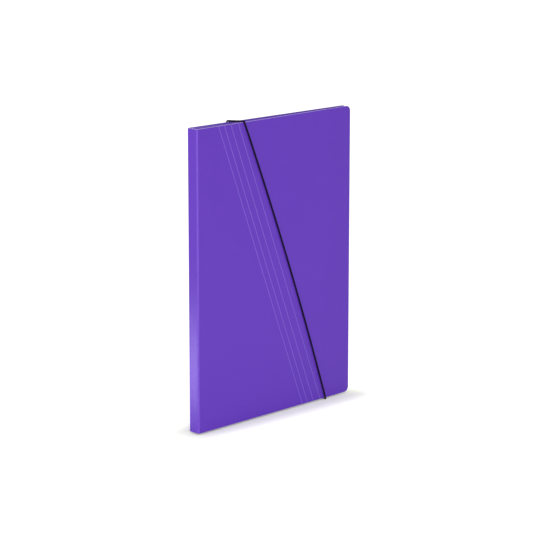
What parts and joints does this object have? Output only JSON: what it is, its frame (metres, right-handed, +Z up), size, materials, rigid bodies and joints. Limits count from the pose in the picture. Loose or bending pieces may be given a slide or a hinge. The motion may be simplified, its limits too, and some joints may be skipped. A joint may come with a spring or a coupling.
{
  "type": "elastic folder",
  "caption": "Slim A4 document folder of purple film-laminated board with a creased spine, inner flaps and a diagonal black elastic cord that holds the front cover shut",
  "frame": {"origin": "centre of the bounding box in plan, on the surface that the folder stands on", "axes": "+Z up along the spine; the front cover faces -Y; the spine is at -X and the fore-edge at +X"},
  "size_m": [0.235, 0.0172, 0.3237],
  "materials": {
    "laminated_board": "satin purple film over board, with paler creases and edges",
    "flap_card": "thinner purple film-laminated card",
    "elastic": "black braided textile over rubber",
    "nickel": "nickel-plated steel"
  },
  "bodies": {
    "back": {"back_cover": "laminated_board", "flap_top": "flap_card", "flap_bottom": "flap_card", "flap_fore_edge": "flap_card", "elastic_cord": "elastic", "eyelet_top": "nickel", "eyelet_bottom": "nickel", "end_bar_top": "nickel", "end_bar_bottom": "nickel"},
    "spine": {"spine": "laminated_board"},
    "front": {"front_cover": "laminated_board"}
  },
  "joints": [
    {"name": "spine_crease", "type": "hinge", "parent": "back", "child": "spine", "pos_m": [-0.1175, 0.00633, 0.16183], "axis": [0, 0, -1], "range_deg": [0, 90], "stiffness_Nm_per_rad": 0.05, "springref_deg": -17.19},
    {"name": "front_crease", "type": "hinge", "parent": "spine", "child": "front", "pos_m": [-0.1175, -0.00867, 0.16183], "axis": [0, 0, -1], "range_deg": [0, 91.9], "stiffness_Nm_per_rad": 0.05, "springref_deg": -17.19, "deforming": ["elastic_cord"]}
  ]
}
